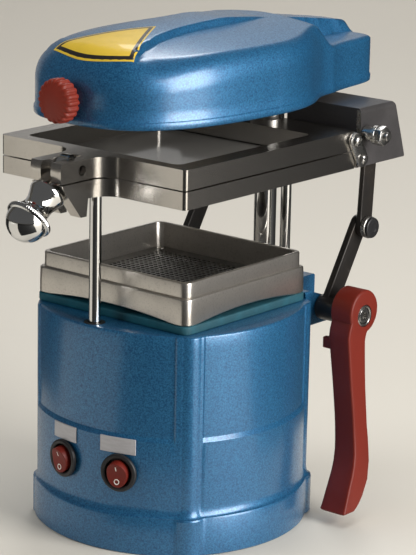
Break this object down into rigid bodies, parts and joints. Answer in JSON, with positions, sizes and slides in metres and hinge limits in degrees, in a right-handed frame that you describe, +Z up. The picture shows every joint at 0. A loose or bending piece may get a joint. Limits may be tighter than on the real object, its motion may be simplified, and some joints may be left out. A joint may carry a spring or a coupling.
{
  "type": "dental vacuum former",
  "caption": "Bench vacuum former: motor base with perforated tray, clamping frame lowered by a side lever, and a heater head on a swivelling post.",
  "frame": {"origin": "on the table, under the middle of the model tray", "axes": "+X towards the side with the lever, -Y towards the front with the switches, +Z up"},
  "size_m": [0.1963, 0.3038, 0.3106],
  "materials": {
    "blue_paint": "hammertone, semi-gloss",
    "cast_alloy": "satin cast and plated",
    "bright_chrome": "polished",
    "plain_steel": "satin",
    "dark_steel": "blackened",
    "red_plastic": "moulded, semi-gloss",
    "black_plastic": "moulded",
    "teal_gasket": "smooth",
    "foot_rubber": "matt",
    "clear_sheet": "clear, slightly frosted",
    "element_ceramic": "matt ceramic",
    "bronze_bush": "sintered",
    "label_plate": "blank plate"
  },
  "bodies": {
    "base": {"base_housing": "blue_paint", "bottom_plate": "dark_steel", "foot_pad_1": "foot_rubber", "foot_pad_2": "foot_rubber", "foot_pad_3": "foot_rubber", "foot_pad_4": "foot_rubber", "power_inlet": "black_plastic", "vacuum_motor": "plain_steel", "fan_housing": "cast_alloy", "deck_gasket": "teal_gasket", "model_tray": "cast_alloy", "perforated_plate": "plain_steel", "rear_bracket": "blue_paint", "main_post": "bright_chrome", "post_collar": "plain_steel", "rear_rod_bush": "bronze_bush", "front_rod_bush": "bronze_bush", "switch_body_left": "black_plastic", "switch_body_right": "black_plastic", "label_plate_left": "label_plate", "label_plate_right": "label_plate"},
    "carriage": {"lower_frame": "cast_alloy", "forming_sheet": "clear_sheet", "front_guide_rod": "bright_chrome", "rear_guide_rod": "bright_chrome", "guide_sleeve": "plain_steel", "rear_cover": "dark_steel", "cover_bolt_right": "plain_steel", "cover_bolt_left": "plain_steel", "hinge_plate_right": "plain_steel", "hinge_plate_left": "plain_steel", "hinge_screw_lower_right": "plain_steel", "hinge_screw_lower_left": "plain_steel", "link_pivot_right": "plain_steel", "link_pivot_left": "plain_steel"},
    "lid": {"upper_frame": "cast_alloy", "clamp_pin": "plain_steel", "hinge_screw_upper_right": "plain_steel", "hinge_screw_upper_left": "plain_steel"},
    "clamp_bolt": {"swing_bolt": "bright_chrome"},
    "clamp_nut": {"clamp_knob": "bright_chrome"},
    "lever": {"lever_handle": "red_plastic", "lever_bush": "plain_steel", "lever_shaft": "plain_steel", "crank_right": "dark_steel", "crank_left": "dark_steel"},
    "lift_links": {"lift_link_right": "dark_steel", "lift_link_left": "dark_steel", "link_bolt_right": "plain_steel", "link_bolt_left": "plain_steel"},
    "heater": {"heater_cover": "blue_paint", "heater_plate": "plain_steel", "reflector": "plain_steel", "heating_element": "element_ceramic", "heater_knob": "red_plastic"},
    "switch_left": {"rocker_left": "red_plastic"},
    "switch_right": {"rocker_right": "red_plastic"}
  },
  "joints": [
    {"name": "carriage_slide", "type": "slide", "parent": "base", "child": "carriage", "axis": [0, 0, 1], "range_m": [-0.057, 0]},
    {"name": "lever_turn", "type": "hinge", "parent": "base", "child": "lever", "pos_m": [0, 0.0763, 0.1282], "axis": [1, 0, 0], "range_deg": [-62.6, 0]},
    {"name": "lift_link_swing", "type": "hinge", "parent": "carriage", "child": "lift_links", "pos_m": [0, 0.109, 0.23], "axis": [1, 0, 0], "range_deg": [0, 29.6]},
    {"name": "lid_hinge", "type": "hinge", "parent": "carriage", "child": "lid", "pos_m": [0, 0.0843, 0.235], "axis": [-1, 0, 0], "range_deg": [0, 1.8]},
    {"name": "clamp_swing", "type": "hinge", "parent": "lid", "child": "clamp_bolt", "pos_m": [0, -0.0955, 0.2345], "axis": [-1, 0, 0], "range_deg": [0, 45]},
    {"name": "clamp_knob_turn", "type": "hinge", "parent": "clamp_bolt", "child": "clamp_nut", "pos_m": [0, -0.11898, 0.21582], "axis": [0, -0.7826, -0.6225], "continuous": true},
    {"name": "heater_swing", "type": "hinge", "parent": "base", "child": "heater", "pos_m": [0, 0.0906, 0.2588], "axis": [0, 0, 1], "range_deg": [-90, 90]},
    {"name": "rocker_left_tilt", "type": "hinge", "parent": "base", "child": "switch_left", "pos_m": [-0.01551, -0.08272, 0.05], "axis": [0.9885, -0.1515, 0], "range_deg": [-20, 0]},
    {"name": "rocker_right_tilt", "type": "hinge", "parent": "base", "child": "switch_right", "pos_m": [0.02793, -0.08002, 0.05], "axis": [0.9621, 0.2727, 0], "range_deg": [-20, 0]}
  ],
  "couplings": [
    {"joint": "lever_turn", "follows": "carriage_slide", "rad_per_m": 19.13},
    {"joint": "lift_link_swing", "follows": "carriage_slide", "rad_per_m": -9.03},
    {"joint": "lid_hinge", "follows": "clamp_swing", "ratio": 0.04}
  ]
}
